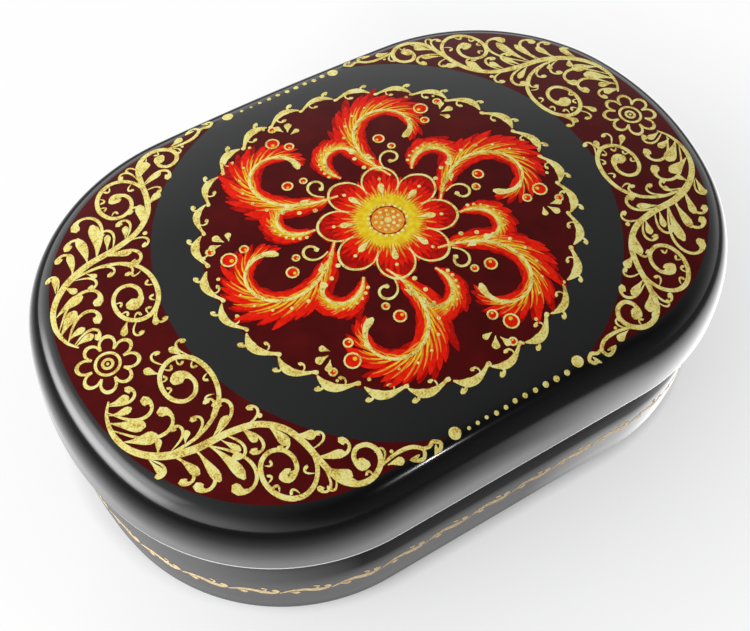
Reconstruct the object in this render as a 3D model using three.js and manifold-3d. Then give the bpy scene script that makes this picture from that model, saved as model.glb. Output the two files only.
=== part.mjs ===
// A small lacquered papier-mache box with a hinged, gently crowned lid.
// Lengths are in millimetres. +Z is up, +X runs along the box, and +Y points to the hinge side.
// The origin is the middle of the flat underside.

import * as THREE from "three";
import { mergeVertices } from "three/addons/utils/BufferGeometryUtils.js";
import Module from "manifold-3d";

const wasm = await Module();
wasm.setup();

// Outline of the box, seen from above: two straight long sides, four corner arcs and two end arcs.
const boxLength = 100;
const boxWidth = 68;
const endRadius = 45.4;
const cornerCentreRise = 4.2;

// Heights, measured on the closed box.
const boxHeight = 32;
const lidDepth = 14.2;
const rimGap = 0.3;
const baseThickness = 3;
const baseEdgeRadius = 2.6;
const wallThickness = 3.6;

// The lid's top board: its crown, its rolled edge and its thickness in the middle.
const crownDrop = 3.35;
const boardEdgeDrop = 6.9;
const rollRadius = 4;
const boardThickness = 3.4;

// The hinge: two leaves with rolled knuckles, let into slots in the rims, on one rod.
const hingeLength = 32;
const knuckleCount = 5;
const knuckleGap = 0.3;
const barrelRadius = 1.25;
const boreRadius = 0.7;
const rodRadius = 0.55;
const rodEndInset = 0.1;
const leafThickness = 0.6;
const leafDepth = 6;
const leafClearance = 0.2;
const barrelClearance = 0.3;

// The rear edges of both rims are bevelled, and the bevels meet when the lid is fully open.
const bevelAngle = THREE.MathUtils.degToRad(51);

// The small nails that hold each leaf, driven from inside the box.
const nailCount = 3;
const nailEndMargin = 5;
const nailDrop = 4;
const nailRadius = 0.45;
const nailLength = 2.6;
const nailHeadRadius = 0.9;
const nailHeadThickness = 0.4;
const nailClearance = 0.15;

// How far a cutting shape runs past the surface that it cuts.
const overrun = 1;

// Number of steps along each stretch of the outline, round each small part, and over the lid.
const endSteps = 6;
const cornerSteps = 10;
const sideSteps = 4;
const edgeSteps = 5;
const crownSteps = 5;
const barrelSides = 24;
const nailSides = 12;

// Places that follow from the sizes above.
const quarterTurn = Math.PI / 2;
const halfTurn = Math.PI;
const halfLength = boxLength / 2;
const halfWidth = boxWidth / 2;
const cornerRadius = halfWidth - cornerCentreRise;
const endCentreX = halfLength - endRadius;
const centreSpacing = endRadius - cornerRadius;
const cornerCentreX = endCentreX + Math.sqrt(centreSpacing ** 2 - cornerCentreRise ** 2);
const meetAngle = Math.asin(cornerCentreRise / centreSpacing);
const seamZ = boxHeight - lidDepth;
const bodyRimZ = seamZ - rimGap / 2;
const lidRimZ = seamZ + rimGap / 2;
const boardSeatZ = boxHeight - boardEdgeDrop;
const hingeY = halfWidth - barrelRadius;
const knucklePitch = hingeLength / knuckleCount;
const innerWallY = halfWidth - wallThickness;

// Arcs and lines that make up the outline, drawn in by the given inset.
function outlineCurves(inset) {
  const side = halfWidth - inset;
  const end = endRadius - inset;
  const corner = cornerRadius - inset;
  const endArc = (sign, from) => ({
    curve: new THREE.EllipseCurve(sign * endCentreX, 0, end, end, from, from + 2 * meetAngle),
    steps: endSteps,
  });
  const cornerArc = (signX, signY, from, to) => ({
    curve: new THREE.EllipseCurve(
      signX * cornerCentreX, signY * cornerCentreRise, corner, corner, from, to),
    steps: cornerSteps,
  });
  const longSide = (sign) => ({
    curve: new THREE.LineCurve(
      new THREE.Vector2(sign * cornerCentreX, sign * side),
      new THREE.Vector2(-sign * cornerCentreX, sign * side)),
    steps: sideSteps,
  });
  return [
    endArc(1, -meetAngle),
    cornerArc(1, 1, meetAngle, quarterTurn),
    longSide(1),
    cornerArc(-1, 1, quarterTurn, halfTurn - meetAngle),
    endArc(-1, halfTurn - meetAngle),
    cornerArc(-1, -1, halfTurn + meetAngle, 3 * quarterTurn),
    longSide(-1),
    cornerArc(1, -1, 3 * quarterTurn, 2 * halfTurn - meetAngle),
  ];
}

// The outline as points, anticlockwise from above. Every inset gives the same number of points.
function outlinePoints(inset) {
  return outlineCurves(inset).flatMap(({ curve, steps }) => curve.getPoints(steps).slice(0, steps));
}

// A ring of points in space: the outline at an inset, scaled about the middle, at a height.
// The height is a number, or a function of the point.
function ringAt(inset, height, scale = 1) {
  return outlinePoints(inset).map((point) => {
    const x = point.x * scale;
    const y = point.y * scale;
    return new THREE.Vector3(x, y, typeof height === "function" ? height(x, y) : height);
  });
}

// A closed solid through a row of rings, from a point in the middle of its underside to a point
// in the middle of its top.
function loftedBoard(bottomZ, rings, topZ) {
  const count = rings[0].length;
  const points = [new THREE.Vector3(0, 0, bottomZ), ...rings.flat(), new THREE.Vector3(0, 0, topZ)];
  const top = points.length - 1;
  const lastRing = 1 + (rings.length - 1) * count;
  const faces = [];
  for (let i = 0; i < count; i += 1) {
    const next = (i + 1) % count;
    faces.push(0, 1 + next, 1 + i);
    for (let start = 1; start < lastRing; start += count) {
      faces.push(start + i, start + next, start + count + next);
      faces.push(start + i, start + count + next, start + count + i);
    }
    faces.push(lastRing + i, lastRing + next, top);
  }
  const geometry = new THREE.BufferGeometry().setFromPoints(points);
  geometry.setIndex(faces);
  return geometry;
}

// A wall that follows the outline, standing on z = 0.
function wallGeometry(height) {
  const shape = new THREE.Shape(outlinePoints(0));
  shape.holes.push(new THREE.Path(outlinePoints(wallThickness)));
  return new THREE.ExtrudeGeometry(shape, { depth: height, bevelEnabled: false });
}

// A cylinder along X, centred on the origin.
function rodGeometry(radius, length, sides) {
  return new THREE.CylinderGeometry(radius, radius, length, sides).rotateZ(quarterTurn);
}

// A cylinder along Y that starts at y = 0.
function nailHoleGeometry(length) {
  const radius = nailRadius + nailClearance;
  return new THREE.CylinderGeometry(radius, radius, length, nailSides).translate(0, length / 2, 0);
}

// A closed geometry as a solid for joining and cutting.
function solid(geometry) {
  const bare = geometry.clone();
  bare.deleteAttribute("normal");
  bare.deleteAttribute("uv");
  const merged = mergeVertices(bare);
  return new wasm.Manifold(new wasm.Mesh({
    numProp: 3,
    vertProperties: new Float32Array(merged.attributes.position.array),
    triVerts: new Uint32Array(merged.index.array),
  }));
}

// A solid as a geometry again.
function geometryOf(manifold) {
  const mesh = manifold.getMesh();
  const geometry = new THREE.BufferGeometry();
  geometry.setAttribute("position", new THREE.BufferAttribute(mesh.vertProperties, 3));
  geometry.setIndex(new THREE.BufferAttribute(mesh.triVerts, 1));
  return geometry;
}

function lacquer() {
  return new THREE.MeshStandardMaterial({ color: "#1b1a1b", roughness: 0.14, metalness: 0 });
}

function brass() {
  return new THREE.MeshStandardMaterial({ color: "#b3924f", roughness: 0.34, metalness: 1 });
}

function piece(name, geometry, material, x = 0, y = 0, z = 0) {
  geometry.computeVertexNormals();
  const mesh = new THREE.Mesh(geometry, material);
  mesh.name = name;
  mesh.position.set(x, y, z);
  return mesh;
}

// X places of the nails, shared by the leaves, the walls and the nails themselves. They are spread
// evenly between the margins at the leaf's two ends.
function nailPlaces() {
  const pitch = (hingeLength - 2 * nailEndMargin) / Math.max(nailCount - 1, 1);
  return Array.from({ length: nailCount }, (_, i) => (i - (nailCount - 1) / 2) * pitch);
}

// What the hinge takes out of a wall, seen from the hinge's axis. The side is -1 for the box body,
// whose leaf points down, and 1 for the lid, whose leaf points up.
function hingeRecesses(side) {
  const barrelRecess = rodGeometry(
    barrelRadius + barrelClearance, hingeLength + 2 * barrelClearance, barrelSides);

  const slotDepth = leafDepth + leafClearance;
  const slot = new THREE.BoxGeometry(
    hingeLength + 2 * leafClearance, leafThickness + 2 * leafClearance, slotDepth);
  slot.translate(0, leafThickness / 2 - barrelRadius, side * slotDepth / 2);

  // The bevel runs the whole length of the box, from the hinge's axis out past the rear face.
  const reach = barrelRadius + overrun;
  const bevelShape = new THREE.Shape([
    new THREE.Vector2(0, 0),
    new THREE.Vector2(reach, side * reach * Math.tan(bevelAngle)),
    new THREE.Vector2(reach, 0),
  ]);
  const bevel = new THREE.ExtrudeGeometry(bevelShape, { depth: boxLength, bevelEnabled: false });
  // The outline was drawn in X and Y: this stands it up in Y and Z, with its length along X.
  bevel.translate(0, 0, -halfLength).applyMatrix4(new THREE.Matrix4().makeBasis(
    new THREE.Vector3(0, 1, 0), new THREE.Vector3(0, 0, 1), new THREE.Vector3(1, 0, 0)));

  const holes = nailPlaces().map((x) => {
    const holeLength = nailLength + nailClearance;
    const hole = nailHoleGeometry(holeLength + overrun);
    return hole.translate(x, innerWallY - hingeY - overrun, side * nailDrop);
  });
  return [barrelRecess, slot, bevel, ...holes];
}

// A wall with the hinge's recesses cut in it. The wall's foot is at the given height.
function hingedWall(height, footZ, side) {
  let wall = solid(wallGeometry(height));
  for (const recess of hingeRecesses(side)) {
    wall = wall.subtract(solid(recess.translate(0, hingeY, seamZ - footZ)));
  }
  return geometryOf(wall);
}

// A hinge leaf, with the hinge's axis as its X axis. Its plate touches the barrel's inner side.
function leafGeometry(side) {
  const plate = new THREE.BoxGeometry(hingeLength, leafThickness, leafDepth);
  plate.translate(0, leafThickness / 2 - barrelRadius, side * leafDepth / 2);
  let leaf = solid(plate);
  for (let i = 0; i < knuckleCount; i += 1) {
    const x = (i + 0.5) * knucklePitch - hingeLength / 2;
    const isOwn = (i % 2 === 0) === (side < 0);
    if (isOwn) {
      const knuckle = rodGeometry(barrelRadius, knucklePitch - knuckleGap, barrelSides);
      leaf = leaf.add(solid(knuckle.translate(x, 0, 0)));
    } else {
      const room = rodGeometry(barrelRadius + barrelClearance, knucklePitch, barrelSides);
      leaf = leaf.subtract(solid(room.translate(x, 0, 0)));
    }
  }
  leaf = leaf.subtract(solid(rodGeometry(boreRadius, hingeLength + overrun, barrelSides)));
  for (const x of nailPlaces()) {
    const hole = nailHoleGeometry(leafThickness + 2 * overrun);
    hole.translate(x, -barrelRadius - overrun, side * nailDrop);
    leaf = leaf.subtract(solid(hole));
  }
  return geometryOf(leaf);
}

// A nail along +Y, with the underside of its head at y = 0.
function nailGeometry() {
  const profile = [
    new THREE.Vector2(0, -nailHeadThickness),
    new THREE.Vector2(nailHeadRadius, -nailHeadThickness),
    new THREE.Vector2(nailHeadRadius, 0),
    new THREE.Vector2(nailRadius, 0),
    new THREE.Vector2(nailRadius, nailLength),
    new THREE.Vector2(0, nailLength),
  ];
  return new THREE.LatheGeometry(profile, nailSides);
}

// The flat base: its lower edge is rounded, and its top is what the wall is glued to.
function baseGeometry() {
  const rings = [];
  for (let i = 0; i <= edgeSteps; i += 1) {
    const angle = (i / edgeSteps) * quarterTurn;
    rings.push(ringAt(
      baseEdgeRadius * (1 - Math.sin(angle)), baseEdgeRadius * (1 - Math.cos(angle))));
  }
  rings.push(ringAt(0, baseThickness));
  return loftedBoard(0, rings, baseThickness);
}

// The height of the lid's crown above the board's seat.
function crownHeight(x, y) {
  return boardEdgeDrop - crownDrop * ((x / halfLength) ** 2 + (y / halfWidth) ** 2);
}

// The top board: a flat seat that sits on the lid's wall, a hollow inside it, a rolled edge and
// the crown.
function topBoardGeometry() {
  const hollowRise = boardEdgeDrop - boardThickness;
  const rings = [];
  for (let i = 1; i <= crownSteps; i += 1) {
    const scale = i / crownSteps;
    rings.push(ringAt(wallThickness, hollowRise * (1 - scale ** 2), scale));
  }
  rings.push(ringAt(0, 0));
  const crownEdge = ringAt(rollRadius, crownHeight);
  for (let i = 1; i < edgeSteps; i += 1) {
    const angle = (i / edgeSteps) * quarterTurn;
    const ring = ringAt(rollRadius * (1 - Math.cos(angle)), 0);
    ring.forEach((point, k) => point.setZ(crownEdge[k].z * Math.sin(angle)));
    rings.push(ring);
  }
  for (let i = crownSteps; i >= 1; i -= 1) {
    rings.push(ringAt(rollRadius, crownHeight, i / crownSteps));
  }
  return loftedBoard(hollowRise, rings, boardEdgeDrop);
}

// The nails of one leaf. The places are measured from the given height.
function addNails(group, prefix, y, z) {
  nailPlaces().forEach((x, i) => {
    group.add(piece(`${prefix}_${i + 1}`, nailGeometry(), brass(), x, y, z));
  });
}

const lacquerBox = new THREE.Group();

// The box body stays in the main frame.
const body = new THREE.Group();
body.add(piece("base_board", baseGeometry(), lacquer()));
body.add(piece(
  "body_wall",
  hingedWall(bodyRimZ - baseThickness, baseThickness, -1),
  lacquer(), 0, 0, baseThickness));
body.add(piece("hinge_body_leaf", leafGeometry(-1), brass(), 0, hingeY, seamZ));
body.add(piece(
  "hinge_rod",
  rodGeometry(rodRadius, hingeLength - 2 * rodEndInset, barrelSides),
  brass(), 0, hingeY, seamZ));
addNails(body, "body_leaf_nail", innerWallY, seamZ - nailDrop);
lacquerBox.add(body);

// The lid's group sits on the hinge's axis, so the lid opens by turning the group about X.
const lid = new THREE.Group();
lid.position.set(0, hingeY, seamZ);
lid.add(piece(
  "lid_wall",
  hingedWall(boardSeatZ - lidRimZ, lidRimZ, 1),
  lacquer(), 0, -hingeY, lidRimZ - seamZ));
lid.add(piece("lid_board", topBoardGeometry(), lacquer(), 0, -hingeY, boardSeatZ - seamZ));
lid.add(piece("hinge_lid_leaf", leafGeometry(1), brass()));
addNails(lid, "lid_leaf_nail", innerWallY - hingeY, nailDrop);
lacquerBox.add(lid);

export default lacquerBox;
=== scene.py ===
# A small hand-painted lacquer box with a hinged lid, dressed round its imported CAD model.
# Lengths are in metres. +X runs along the box, +Y points to the hinge at the rear, and +Z is up.

from math import acos, asin, atan2, cos, degrees, hypot, pi, radians, sin, sqrt, tan
from random import Random
import bpy
from bpy import ops
from mathutils import Matrix, Vector


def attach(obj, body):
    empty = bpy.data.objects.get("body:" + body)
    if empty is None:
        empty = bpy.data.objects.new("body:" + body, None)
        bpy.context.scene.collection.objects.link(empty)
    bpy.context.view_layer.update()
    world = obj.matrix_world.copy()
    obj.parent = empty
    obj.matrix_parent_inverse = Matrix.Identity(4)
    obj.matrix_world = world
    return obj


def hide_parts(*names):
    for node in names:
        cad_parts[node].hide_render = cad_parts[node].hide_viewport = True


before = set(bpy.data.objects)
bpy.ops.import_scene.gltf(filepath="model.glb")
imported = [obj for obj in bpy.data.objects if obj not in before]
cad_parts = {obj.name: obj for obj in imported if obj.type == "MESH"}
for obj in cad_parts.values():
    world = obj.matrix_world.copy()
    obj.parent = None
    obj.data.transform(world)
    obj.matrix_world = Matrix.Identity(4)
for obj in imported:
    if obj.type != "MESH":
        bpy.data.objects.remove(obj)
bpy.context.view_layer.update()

# Studio: white card under the box, two soft window lights at its left and a small lamp in front.
# The room is dark in front of the box, so the polished roll there reads near black.
mm = 0.001
scene = bpy.context.scene


def linear(hex_colour):
    """An sRGB colour such as "#d8c67a" as linear RGBA."""
    parts = [int(hex_colour[i:i + 2], 16) / 255 for i in (1, 3, 5)]
    return [p / 12.92 if p <= 0.04045 else ((p + 0.055) / 1.055) ** 2.4 for p in parts] + [1.0]


def add_node(owner, kind, inputs=(), stops=(), **settings):
    """Adds a node to a material, world or lamp. An input is a value, an output to link, or a node
    whose first output is linked. Stops are the places and colours of a colour ramp."""
    node = owner.node_tree.nodes.new("ShaderNode" + kind)
    for name, value in settings.items():
        setattr(node, name, value)
    for name, value in inputs.items() if isinstance(inputs, dict) else enumerate(inputs):
        value = value.outputs[0] if isinstance(value, bpy.types.Node) else value
        if isinstance(value, bpy.types.NodeSocket):
            owner.node_tree.links.new(value, node.inputs[name])
        else:
            node.inputs[name].default_value = value
    if stops:
        elements = node.color_ramp.elements
        elements[0].position, elements[1].position = stops[0][0], stops[-1][0]
        for place, _ in stops[1:-1]:
            elements.new(place)
        for element, (_, colour) in zip(elements, stops):
            element.color = linear(colour)
    return node


def new_material(name):
    """An empty node material, and the output that gives the place on its object."""
    material = bpy.data.materials.new(name)
    material.use_nodes = True
    material.node_tree.nodes.clear()
    return material, add_node(material, "TexCoord").outputs["Object"]


def add_noise(material, place, grain, detail):
    """A noise node. Its grain is in millimetres."""
    return add_node(material, "TexNoise", {
        "Vector": place, "Scale": 1 / (grain * mm), "Detail": detail})


def add_bump(material, height, strength, depth, **normal):
    """A bump node, its depth in millimetres, on its own or on another bump as its Normal."""
    return add_node(material, "Bump", {
        "Height": height, "Strength": strength, "Distance": depth * mm, **normal})


floor_size = 4.0
ops.mesh.primitive_plane_add(size=floor_size, location=(0, 0, -0.02 * mm))
floor = bpy.context.object
floor.name = "studio_floor"
ops.object.transform_apply()

# White matt card: no gloss. What the camera sees of it is lifted to white, and the box's shadow
# stays in it. The lacquer mirrors it bright beside the box and at its right, and dimmer further
# away. The way from the box is measured from a line of 34 mm along its middle.
line_half = 17 * mm
card_near = 33 * mm
card_far = 133 * mm
mirror_gain = 1.38
mirror_gain_right = 2.3
card, place = new_material("white_card_matt")
light_path = add_node(card, "LightPath")
camera_ray = light_path.outputs["Is Camera Ray"]
card_x, card_y, _ = add_node(card, "SeparateXYZ", (place,)).outputs
aside = add_node(card, "Math", (card_x,), operation="ABSOLUTE")
reach_x = add_node(card, "Math", (aside, line_half), operation="SUBTRACT", use_clamp=True)
card_reach = add_node(card, "CombineXYZ", (reach_x, card_y))
from_box = add_node(card, "VectorMath", (card_reach,), operation="LENGTH").outputs["Value"]
apart = add_node(card, "MapRange", (from_box, card_near, card_far))
mirrored = add_node(card, "ValToRGB", (apart,), (
    (0, "#969696"), (0.11, "#ffffff"), (0.38, "#9c9c9c"), (0.60, "#717171"), (1, "#3a3a3a")))
near_level = add_node(card, "Math", (mirrored, mirror_gain), operation="MULTIPLY")
right_side = add_node(card, "MapRange", (card_x, -5 * mm, 35 * mm, 0, mirror_gain_right))
right_fall = add_node(card, "MapRange", (apart, 0.2, 0.85, 1, 0.05))
right_level = add_node(card, "Math", (right_side, right_fall), operation="MULTIPLY")
mirrored_level = add_node(card, "Math", (near_level, right_level), operation="MAXIMUM")
glow_level = add_node(card, "MapRange", (camera_ray, 0, 1, mirrored_level, 1))
card_glow = add_node(card, "Emission", {"Strength": glow_level})
# Painted shade and light: the camera lift is least at the box's foot, more on the window side.
lift_near = add_node(card, "MapRange", (apart, 0, 0.02, -0.35, 0))
lift_far = add_node(card, "MapRange", (apart, 0, 0.5, 0.62, 0.95))
window_side = add_node(card, "VectorMath", (place, (-0.9, 0.7, 0)), operation="DOT_PRODUCT")
window_lift = add_node(card, "MapRange", (window_side.outputs["Value"], 5 * mm, 45 * mm, 0, 0.22))
lift_front = add_node(card, "Math", (lift_far, lift_near), operation="ADD")
lift_sum = add_node(card, "Math", (lift_front, window_lift), operation="ADD")
lift_level = add_node(card, "Math", (lift_sum, 0.97), operation="MINIMUM")
camera_lift = add_node(card, "Math", (camera_ray, lift_level), operation="MULTIPLY")
mirror_ray = add_node(
    card, "Math", (light_path.outputs["Is Glossy Ray"], light_path.outputs["Is Transmission Ray"]),
    operation="MAXIMUM")
lift = add_node(card, "Math", (mirror_ray, 0.92, camera_lift), operation="MULTIPLY_ADD")
card_matt = add_node(card, "BsdfDiffuse", {"Color": linear("#f0f0f1")})
card_shader = add_node(card, "MixShader", (lift, card_matt, card_glow))
add_node(card, "OutputMaterial", {"Surface": card_shader})
floor.data.materials.append(card)

# Room light: white at the horizon, grey overhead and dark in front of the box. In the lacquer a
# haze of window light also shows at the left.
world = bpy.data.worlds.new("studio_room")
scene.world = world
world.use_nodes = True
world.node_tree.nodes.clear()
room_way = add_node(world, "TexCoord").outputs["Generated"]
room_height = add_node(world, "SeparateXYZ", (room_way,))
sky = add_node(world, "ValToRGB", (room_height.outputs["Z"],), (
    (0.20, "#ffffff"), (0.70, "#a2a4a5")))
dark_side = add_node(world, "VectorMath", (room_way, (0.25, -0.80, 0.55)), operation="DOT_PRODUCT")
room_level = add_node(world, "ValToRGB", (dark_side.outputs["Value"],), (
    (0, "#d2d2d2"), (0.38, "#bcbcbc"), (0.85, "#4c4c4c")))
window_wall = add_node(
    world, "VectorMath", (room_way, (-0.94, 0.19, 0.29)), operation="DOT_PRODUCT")
window_part = add_node(world, "MapRange", (window_wall.outputs["Value"], 0.1, 1))
window_fall = add_node(world, "Math", (window_part, 2.2), operation="POWER")
window_haze = add_node(world, "Math", (window_fall, 0.85), operation="MULTIPLY")
glossy_ray = add_node(world, "LightPath").outputs["Is Glossy Ray"]
room_sum = add_node(world, "Math", (window_haze, glossy_ray, room_level), operation="MULTIPLY_ADD")
room_strength = add_node(world, "Math", (room_sum, 2), operation="MULTIPLY")
room = add_node(world, "Background", {"Color": sky, "Strength": room_strength})
add_node(world, "OutputWorld", {"Surface": room})
lamp_aim = Vector((0, 0, 20)) * mm


def add_softbox(name, place, width, height, power):
    """A rectangular lamp that faces the box, bright in its middle and fading towards its edges."""
    lamp = bpy.data.lights.new(name, "AREA")
    lamp.shape = "RECTANGLE"
    lamp.size, lamp.size_y, lamp.energy = width, height, power
    lamp.use_nodes = True
    lamp.node_tree.nodes.clear()
    sheet = add_node(lamp, "SeparateXYZ", (add_node(lamp, "NewGeometry").outputs["Parametric"],))
    level = 36.0  # six for each way: the mean of a share times its rest is a sixth
    for axis in "XY":
        rest = add_node(lamp, "Math", (1, sheet.outputs[axis]), operation="SUBTRACT")
        bell = add_node(lamp, "Math", (rest, sheet.outputs[axis]), operation="MULTIPLY")
        level = add_node(lamp, "Math", (bell, level), operation="MULTIPLY")
    glow = add_node(lamp, "Emission", {"Strength": level})
    add_node(lamp, "OutputLight", {"Surface": glow})
    holder = bpy.data.objects.new(name, lamp)
    holder.location = place
    holder.rotation_euler = (lamp_aim - Vector(place)).to_track_quat("-Z", "Y").to_euler()
    scene.collection.objects.link(holder)


add_softbox("window_left", (-0.77, 0.22, 0.23), 1.16, 0.42, 4.9)
add_softbox("window_upper", (-0.64, 0.12, 0.47), 0.80, 0.46, 2.0)
add_softbox("lamp_front", (0.18, -0.62, 0.62), 0.02, 0.02, 0.35)

# Camera: above the front left of the box, looking down at it, as in the photo.
camera_azimuth = radians(-32.34)
camera_elevation = radians(56.80)
camera_roll = radians(0.994)
camera_distance = 146.14 * mm
camera_aim = Vector((-9.56, -12.25, 32)) * mm
camera = bpy.data.objects.new("camera", bpy.data.cameras.new("camera"))
camera.data.lens = 54.77
camera.data.sensor_width = 36
camera.data.clip_start = 0.005
camera.matrix_world = (
    Matrix.Translation(camera_aim) @ Matrix.Rotation(camera_azimuth, 4, "Z")
    @ Matrix.Rotation(pi / 2 - camera_elevation, 4, "X") @ Matrix.Rotation(camera_roll, 4, "Z")
    @ Matrix.Translation((0, 0, camera_distance)))
scene.collection.objects.link(camera)
scene.camera = camera
scene.view_settings.view_transform = "Standard"


# Body shell: papier-mache wound and glued over a board, ground smooth and coated in black
# lacquer. It is swept round the outline from one cross-section, and its rear rim is cut away
# for the hinge.
half_length = 50 * mm
half_width = 34 * mm
end_radius = 45.4 * mm
corner_rise = 4.2 * mm
corner_radius = half_width - corner_rise
end_x = half_length - end_radius
corner_x = end_x + sqrt((end_radius - corner_radius) ** 2 - corner_rise ** 2)
meet_angle = asin(corner_rise / (end_radius - corner_radius))
wall = 3.6 * mm
seam_z = 17.8 * mm
body_rim_z = 17.65 * mm
floor_z = 3 * mm
foot_round = 0.6 * mm
foot_lean = 0.3 * mm
body_setback = 0.4 * mm
edge_turn = 3.4 * mm
edge_height = 10.7 * mm
edge_start_z = 8.3 * mm
rim_round = 0.4 * mm
same_place = 0.002 * mm
merge_gap = 0.0005 * mm


def arc(centre, radius, start, end, steps):
    """Points (inset, height) on an arc between two angles, in degrees."""
    angles = [radians(start + (end - start) * i / steps) for i in range(steps + 1)]
    return [(centre[0] + radius * cos(a), centre[1] + radius * sin(a)) for a in angles]


def trace(name, profile):
    """Starts an object: a chain of edges through a profile of (inset, height) at the right end."""
    start_inset, start_height = profile[0]
    start = (half_length - start_inset, 0, start_height)
    ops.mesh.primitive_plane_add(size=mm, location=start)
    made = bpy.context.object
    made.name = name
    ops.object.mode_set(mode="EDIT")
    ops.mesh.merge(type="CENTER")
    for (inset, height), (next_inset, next_height) in zip(profile, profile[1:]):
        step = (inset - next_inset, 0, next_height - height)
        ops.mesh.extrude_vertices_move(TRANSFORM_OT_translate={"value": step})
    return made


def spin_end(end_steps, corner_steps):
    """Carries the selected chain round the end of the outline, from +X to the straight side."""
    ops.mesh.spin(steps=end_steps, angle=-meet_angle, center=(end_x, 0, 0), axis=(0, 0, 1))
    ops.mesh.spin(steps=corner_steps, angle=meet_angle - pi / 2,
                  center=(corner_x, corner_rise, 0), axis=(0, 0, 1))


def apply_modifier(made, kind, **settings):
    """Adds a modifier to an object, sets it and applies it."""
    modifier = made.modifiers.new(kind.lower(), kind)
    for name, value in settings.items():
        setattr(modifier, name, value)
    bpy.context.view_layer.objects.active = made
    ops.object.modifier_apply(modifier=modifier.name)


def mirror_quarter(made):
    """Leaves edit mode and mirrors a quarter of a shape to the other three."""
    ops.object.mode_set(mode="OBJECT")
    ops.object.transform_apply()
    apply_modifier(made, "MIRROR", use_axis=(True, True, False), merge_threshold=same_place)


def sweep_outline(made, end_steps=8, corner_steps=28, side_steps=8):
    """Carries the chain round the whole outline."""
    ops.mesh.select_all(action="SELECT")
    spin_end(end_steps, corner_steps)
    for _ in range(side_steps):
        step = (-corner_x / side_steps, 0, 0)
        ops.mesh.extrude_region_move(TRANSFORM_OT_translate={"value": step})
    mirror_quarter(made)


def select_where(made, test):
    """Selects the vertices whose place passes the test, and goes into edit mode."""
    for parts in (made.data.polygons, made.data.edges):
        parts.foreach_set("select", [False] * len(parts))
    made.data.vertices.foreach_set("select", [test(v.co) for v in made.data.vertices])
    ops.object.mode_set(mode="EDIT")
    ops.mesh.select_mode(type="VERT")


def close_with_rings(made, test, rings=12):
    """Closes the hole whose edge passes the test with rings that shrink to the middle."""
    select_where(made, test)
    for i in range(rings - 1, 0, -1):
        ops.mesh.extrude_region_move()
        ops.transform.resize(value=(i / (i + 1), i / (i + 1), 1), center_override=(0, 0, 0))
    ops.mesh.extrude_region_move()
    ops.mesh.merge(type="CENTER")
    ops.object.mode_set(mode="OBJECT")


def near(a, b):
    """Whether two places are the same, but for rounding."""
    return abs(a - b) < same_place


def outline_inset(x, y):
    """How far a point lies inside the outline of the box."""
    x, y = abs(x), abs(y)
    if x < corner_x and y > corner_rise:
        return half_width - y
    if atan2(y - corner_rise, x - corner_x) < meet_angle:
        return end_radius - hypot(x - end_x, y)
    return corner_radius - hypot(x - corner_x, y - corner_rise)


def take_alone(made):
    """Makes an object the active one and the only one selected."""
    ops.object.select_all(action="DESELECT")
    bpy.context.view_layer.objects.active = made
    made.select_set(True)


def tidy_mesh(made, smooth_angle=32):
    """Merges doubles, turns the faces outwards and shades them smooth except at real edges."""
    take_alone(made)
    ops.object.mode_set(mode="EDIT")
    ops.mesh.select_all(action="SELECT")
    ops.mesh.remove_doubles(threshold=merge_gap)
    ops.mesh.normals_make_consistent(inside=False)
    ops.object.mode_set(mode="OBJECT")
    ops.object.shade_smooth_by_angle(angle=radians(smooth_angle))


def block(low, high):
    """A box between two corners, for use as a cutter."""
    ops.mesh.primitive_cube_add(size=1, location=(low + high) / 2, scale=high - low)
    ops.object.transform_apply()
    return bpy.context.object


# Polished black lacquer: near-black with a deep wet gloss. Its ground is not quite level, so
# reflections waver, and rubbing has left faint hairlines and slightly duller patches. A pale line
# along the lid's lower edge at the front is a painted highlight, and the body's gloss is taken
# away from its middle height up to the seam, but not at its left end, as a painted shade band.
black, place = new_material("polished_black_lacquer")
patches = add_noise(black, place, 14, 3)
black_gloss = add_node(black, "MapRange", (patches, 0.35, 0.70, 0.11, 0.18))
waver = add_noise(black, place, 9, 1)
waver_bump = add_bump(black, waver, 0.35, 0.10)
rubbed = add_node(black, "Mapping", {
    "Vector": place, "Rotation": (0.2, 0.1, 0.6), "Scale": (1, 9, 3)})
hairlines = add_noise(black, rubbed, 1.6, 4)
hairline_bump = add_bump(black, hairlines, 0.05, 0.02, Normal=waver_bump)
black_x, black_y, black_z = add_node(black, "SeparateXYZ", (place,)).outputs
# Painted highlight: a pale line coloured along the lid's lower edge at the front.
above_edge = add_node(
    black, "MapRange", (black_z, 18.40 * mm, 18.50 * mm), interpolation_type="SMOOTHSTEP")
below_side = add_node(
    black, "MapRange", (black_z, 18.95 * mm, 18.75 * mm), interpolation_type="SMOOTHSTEP")
at_front = add_node(black, "MapRange", (black_y, -4 * mm, -20 * mm))
edge_line = add_node(black, "Math", (above_edge, below_side), operation="MULTIPLY")
painted_edge_highlight = add_node(black, "Math", (edge_line, at_front), operation="MULTIPLY")
black_colour = add_node(black, "ValToRGB", (painted_edge_highlight,), ((0, "#0b0a0b"), (1, "#ffffff")))
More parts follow.
